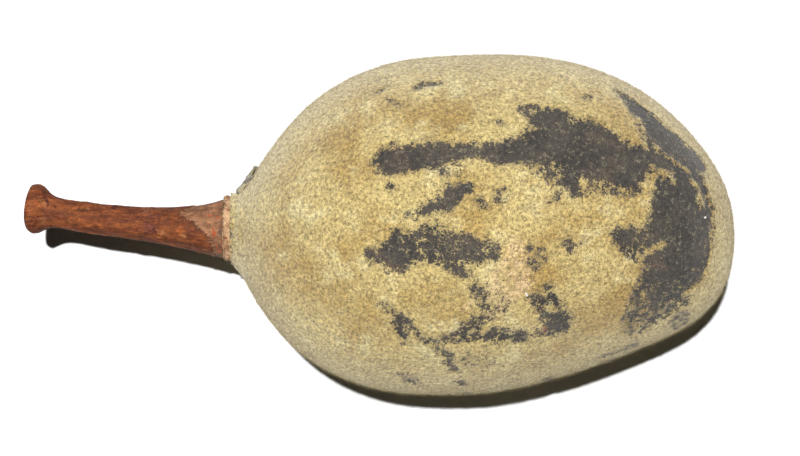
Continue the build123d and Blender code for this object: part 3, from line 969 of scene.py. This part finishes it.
def carve_stalk(bm, tuck=0.0):
    """Moves the skin of a stalk part by the bark's relief and keeps it for the colouring.

    The part's outer end is drawn out by tuck millimetres, to reach under its neighbour."""
    outer_end = min(corner.co.x for corner in bm.verts) + END_BAND * MM
    relief_layer = bm.verts.layers.float.new("relief")
    torn_layer = bm.verts.layers.float.new("torn")
    place_layer = bm.verts.layers.float.new("from_pod")
    bm.normal_update()
    for corner in bm.verts:
        s, angle, out = stalk_place(corner.co)
        height = bark_relief(s, angle)
        under_bark = torn_edge(angle) - s
        sunk = -BARK_THICKNESS * min(max(under_bark / LEDGE_WIDTH, 0.0), 1.0)
        corner[relief_layer] = height
        corner[torn_layer] = under_bark
        corner[place_layer] = s
        outside = corner.normal.dot(out) > 0.2
        if tuck and corner.co.x < outer_end:
            corner.co.x -= tuck * MM
        if outside:
            corner.co += out * (height * RELIEF_SHARE + sunk) * MM
        bend_end(corner.co, s, angle)
    smooth_faces(bm)


# %% [markdown]
# The bark is red-brown, with orange, plum and dusty clouds, and painted shade makes it dark
# where its relief sinks into cracks. Where it is torn off, red-tinged bare wood shows, and next to
# the pod the grey-brown swelling. One material covers all three and fades from one to the next,
# because on the twig they grow into each other.

# %% Bark material
def make_bark_material():
    material, tree, place = start_material("torn red bark", (0.16, 1, 1))
    loose = object_place(tree)
    torn, from_pod = stored(tree, "torn"), stored(tree, "from_pod")
    specks = grain(tree, loose, 1500)
    lengthwise = grain(tree, place, 1700)
    # the bark itself
    streaks = mottle(tree, place, 380, 0.36, 0.62)
    brown = blend_colours(tree, streaks, shade(146, 80, 40), shade(106, 52, 26))
    orange = blend_colours(tree, mottle(tree, place, 700, 0.54, 0.68), brown, shade(178, 100, 50))
    plum = blend_colours(tree, mottle(tree, loose, 130, 0.56, 0.70), orange, shade(112, 58, 42))
    dusty = blend_colours(tree, mottle(tree, loose, 210, 0.58, 0.74), plum, shade(162, 108, 66))
    # painted shade: the bark is darkened wherever its relief lies low, as in its cracks
    cracks = soft_step(tree, stored(tree, "relief"), -0.7, -0.3, 1.0, 0.0)
    bark = blend_colours(tree, cracks, dusty, shade(70, 36, 24))
    spotted = blend_colours(tree, mottle(tree, loose, 240, 0.6, 0.68), bark, shade(78, 36, 26))
    # the stripped wood, and the grey cracked swelling near the pod
    fibres = mottle(tree, place, 500, 0.4, 0.62)
    wood = blend_colours(tree, fibres, shade(166, 118, 84), shade(136, 92, 64))
    stains = mottle(tree, loose, 300, 0.42, 0.6)
    swelling = blend_colours(tree, stains, shade(144, 106, 74), shade(104, 78, 58))
    under = blend_colours(tree, soft_step(tree, from_pod, 3.5, 7.5), swelling, wood)
    past_collar, before_edge = soft_step(tree, from_pod, 3.5, 6.0), soft_step(tree, from_pod, 13.0, 8.0)
    near = calculate(tree, "MULTIPLY", past_collar, before_edge)
    flecks = calculate(tree, "MULTIPLY", near, mottle(tree, loose, 520, 0.54, 0.6))
    red = blend_colours(tree, flecks, under, shade(182, 84, 48))
    fissures = calculate(tree, "MULTIPLY", near, mottle(tree, loose, 330, 0.57, 0.64))
    cracked = blend_colours(tree, fissures, red, shade(92, 82, 72))
    # the torn edge, with a painted shade line along its ledge
    ragged = calculate(tree, "ADD", torn, calculate(tree, "MULTIPLY", specks.outputs["Value"], 8.0))
    outer_side, inner_side = soft_step(tree, ragged, -1.6, -0.6), soft_step(tree, ragged, 0.5, -0.2)
    ledge_shade = calculate(tree, "MULTIPLY", outer_side, inner_side)
    stripped = blend_colours(tree, soft_step(tree, ragged, -0.6, 0.2), spotted, cracked)
    colour = blend_colours(tree, calculate(tree, "MULTIPLY", ledge_shade, 0.6), stripped, shade(92, 54, 36))
    speckled = brighten(tree, colour, specks.outputs["Value"], 2.4)
    gritty = brighten(tree, speckled, lengthwise.outputs["Value"], 1.6)
    end_material(tree, gritty, 0.72, lengthwise.outputs["Height"], 0.00035, specular=0.2)
    return material


# %% Bark
bark_material = make_bark_material()
bark_bm = even_copy("stalk_bark", face_size=0.38)
carve_stalk(bark_bm)
make_piece(bark_bm, "bark", "pod", bark_material, ["stalk_bark"])

# %% [markdown]
# Next to the pod the twig swells into a collar. It is carved with the same relief as the bark, so the
# two meet without a step, and its outer end is drawn out a little to reach under the bark.

# %% Swelling below the bark
swelling_bm = even_copy("stalk_swelling", face_size=0.3)
carve_stalk(swelling_bm, tuck=1.2)
make_piece(swelling_bm, "swelling", "pod", bark_material, ["stalk_swelling"])

# %% [markdown]
# The wood inside the stalk shows at the scar on its outer end, as a slanted face that is pale with dark
# blotches. Noise dents it a little, and the same bend as the bark's keeps the two together.

# %% Stalk wood
SCAR_DEPTH = 3  # mm from the end over which the scar is dented
SCAR_DENTS = 0.5
SCAR_DENT_SIZE = 2.4


def make_wood_material():
    material, tree, place = start_material("split twig wood", (0.3, 1, 1))
    streaks = mottle(tree, place, 420, 0.42, 0.6)
    pale = blend_colours(tree, streaks, shade(190, 156, 112), shade(140, 102, 70))
    dark = blend_colours(tree, mottle(tree, object_place(tree), 300, 0.55, 0.66), pale, shade(92, 62, 46))
    fibres = grain(tree, place, 1900)
    colour = brighten(tree, dark, fibres.outputs["Value"], 2.6)
    end_material(tree, colour, 0.8, fibres.outputs["Height"], 0.0004)
    return material


wood_bm = even_copy("stalk_wood", face_size=0.55)
for corner in wood_bm.verts:
    s, angle, out = stalk_place(corner.co)
    if s > BARK_LENGTH - SCAR_DEPTH:
        corner.co.x += SCAR_DENTS * abs(wander(corner.co, SCAR_DENT_SIZE)) * MM
    bend_end(corner.co, s, angle)
smooth_faces(wood_bm)
make_piece(wood_bm, "twig_wood", "pod", make_wood_material(), ["stalk_wood"])

# %% [markdown]
# The pale ring is a corky scar, left by the cup that once held the flower. It is lumpy, with one
# groove round it, and its outer rim is worn. Groove and rim press in only the faces that look outwards,
# because the flat ends lie against the pod and the stalk.

# %% Pale ring
GROOVE_DEPTH = 0.55
GROOVE_PLACE = 2.4  # mm from the ring's outer rim
RIM_WEAR = 0.5
RIM_WIDTH = 1.2
RING_LUMPS = ((0.9, 4.0, 2.0), (0.35, 1.1, 0.0))  # height, size and seed of two noises
RING_SINK = 0.2


def make_ring_material():
    material, tree, place = start_material("pale corky ring")
    corky = mottle(tree, place, 300, 0.42, 0.6)
    cork = blend_colours(tree, corky, shade(212, 172, 132), shade(178, 134, 96))
    stained = blend_colours(tree, mottle(tree, place, 520, 0.57, 0.66), cork, shade(150, 84, 58))
    specks = grain(tree, place, 1400)
    colour = brighten(tree, stained, specks.outputs["Value"], 2.2)
    end_material(tree, colour, 0.85, specks.outputs["Height"], 0.0005)
    return material


ring_bm = even_copy("calyx_ring", face_size=0.34)
ring_bm.normal_update()
for corner in ring_bm.verts:
    out = stalk_place(corner.co)[2]
    from_rim = (corner.co.x - ring_low.x) / MM
    groove = -GROOVE_DEPTH * math.exp(-(from_rim - GROOVE_PLACE) ** 2 / 0.3)
    worn_rim = -RIM_WEAR * math.exp(-from_rim / RIM_WIDTH)
    lumps = sum(height * wander(corner.co, size, seed) for height, size, seed in RING_LUMPS)
    outward = (groove + worn_rim) if corner.normal.dot(out) > 0.3 else 0.0
    corner.co += corner.normal * (lumps + outward - RING_SINK) * MM
smooth_faces(ring_bm)
make_piece(ring_bm, "pale_ring", "pod", make_ring_material(), ["calyx_ring"])

# %% [markdown]
# A grey felted scrap of the cup still sticks up beside the ring. Its plain solid is a small slab, so
# the copy is curled back at its free end and its edges are frayed by noise.

# %% Scrap of the flower's cup
CURL_WAY = Vector((-0.7, 0.7, 0.1))
CURL = 0.4
FRAY = 2.2


def make_scrap_material():
    material, tree, place = start_material("felted scrap")
    felting = mottle(tree, place, 350, 0.4, 0.62)
    felt = blend_colours(tree, felting, shade(178, 164, 126), shade(112, 100, 80))
    specks = grain(tree, place, 1700)
    colour = brighten(tree, felt, specks.outputs["Value"], 3.0)
    end_material(tree, colour, 0.9, specks.outputs["Height"], 0.0005, sheen=0.2)
    return material


scrap_bm = even_copy("calyx_scrap", face_size=0.24)
scrap_low, scrap_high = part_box("calyx_scrap")
for corner in scrap_bm.verts:
    share = (corner.co.x - scrap_low[0]) / (scrap_high[0] - scrap_low[0])
    curl = CURL * ((1 - share) ** 2 + wander(corner.co, 3.0))
    corner.co += CURL_WAY * curl * MM
    frayed = Vector((wander(corner.co, 3.0, 5.0), 0, wander(corner.co, 3.5, 8.0)))
    corner.co += frayed * FRAY * MM
smooth_faces(scrap_bm)
make_piece(scrap_bm, "cup_scrap", "pod", make_scrap_material(), ["calyx_scrap"])

# %% [markdown]
# ## What is inside
# Nothing inside shows until the pod is cut open, and the plain solids already have the right form.
# They keep it, and only get finishes: chalky pulp, glossy dark seeds, red fibres and a fibrous shell.

# %% Finishes for the plain solids
def simple_finish(name, light, dark, fleck, roughness, sheen=0.0, specular=0.3, stretch=(1, 1, 1)):
    """A finish of two clouded colours, flecks of a third and fine grain."""
    material, tree, place = start_material(name, stretch)
    base = blend_colours(tree, mottle(tree, place, 170, 0.4, 0.62), light, dark)
    flecked = blend_colours(tree, mottle(tree, place, 640, 0.58, 0.68), base, fleck)
    specks = grain(tree, place, 1200)
    gritty = brighten(tree, flecked, specks.outputs["Value"], 2.0)
    end_material(tree, gritty, roughness, specks.outputs["Height"], 0.0003, sheen, specular)
    return material


inner_finishes = {
    "woody_shell": simple_finish(
        "woody shell", shade(96, 74, 56), shade(66, 50, 40), shade(140, 108, 76), roughness=0.8),
    "pulp_segment": simple_finish(
        "chalky pulp", shade(238, 222, 196), shade(214, 188, 156), shade(204, 150, 120), roughness=0.95),
    "seed": simple_finish(
        "seed coat", shade(72, 42, 28), shade(44, 26, 20), shade(112, 76, 50), roughness=0.35,
        specular=0.5),
    "fibre": simple_finish(
        "red fibre", shade(150, 78, 50), shade(104, 46, 32), shade(196, 132, 90), roughness=0.8,
        sheen=0.2, stretch=(0.1, 1, 1)),
}
dressed = 0
for node_name, solid in frame["nodes"].items():
    for word, finish in inner_finishes.items():
        if word in node_name and (word != "seed" or "pulp" not in node_name):
            solid.material_slots[0].material = finish
            dressed += 1
print("plain solids dressed:", dressed)
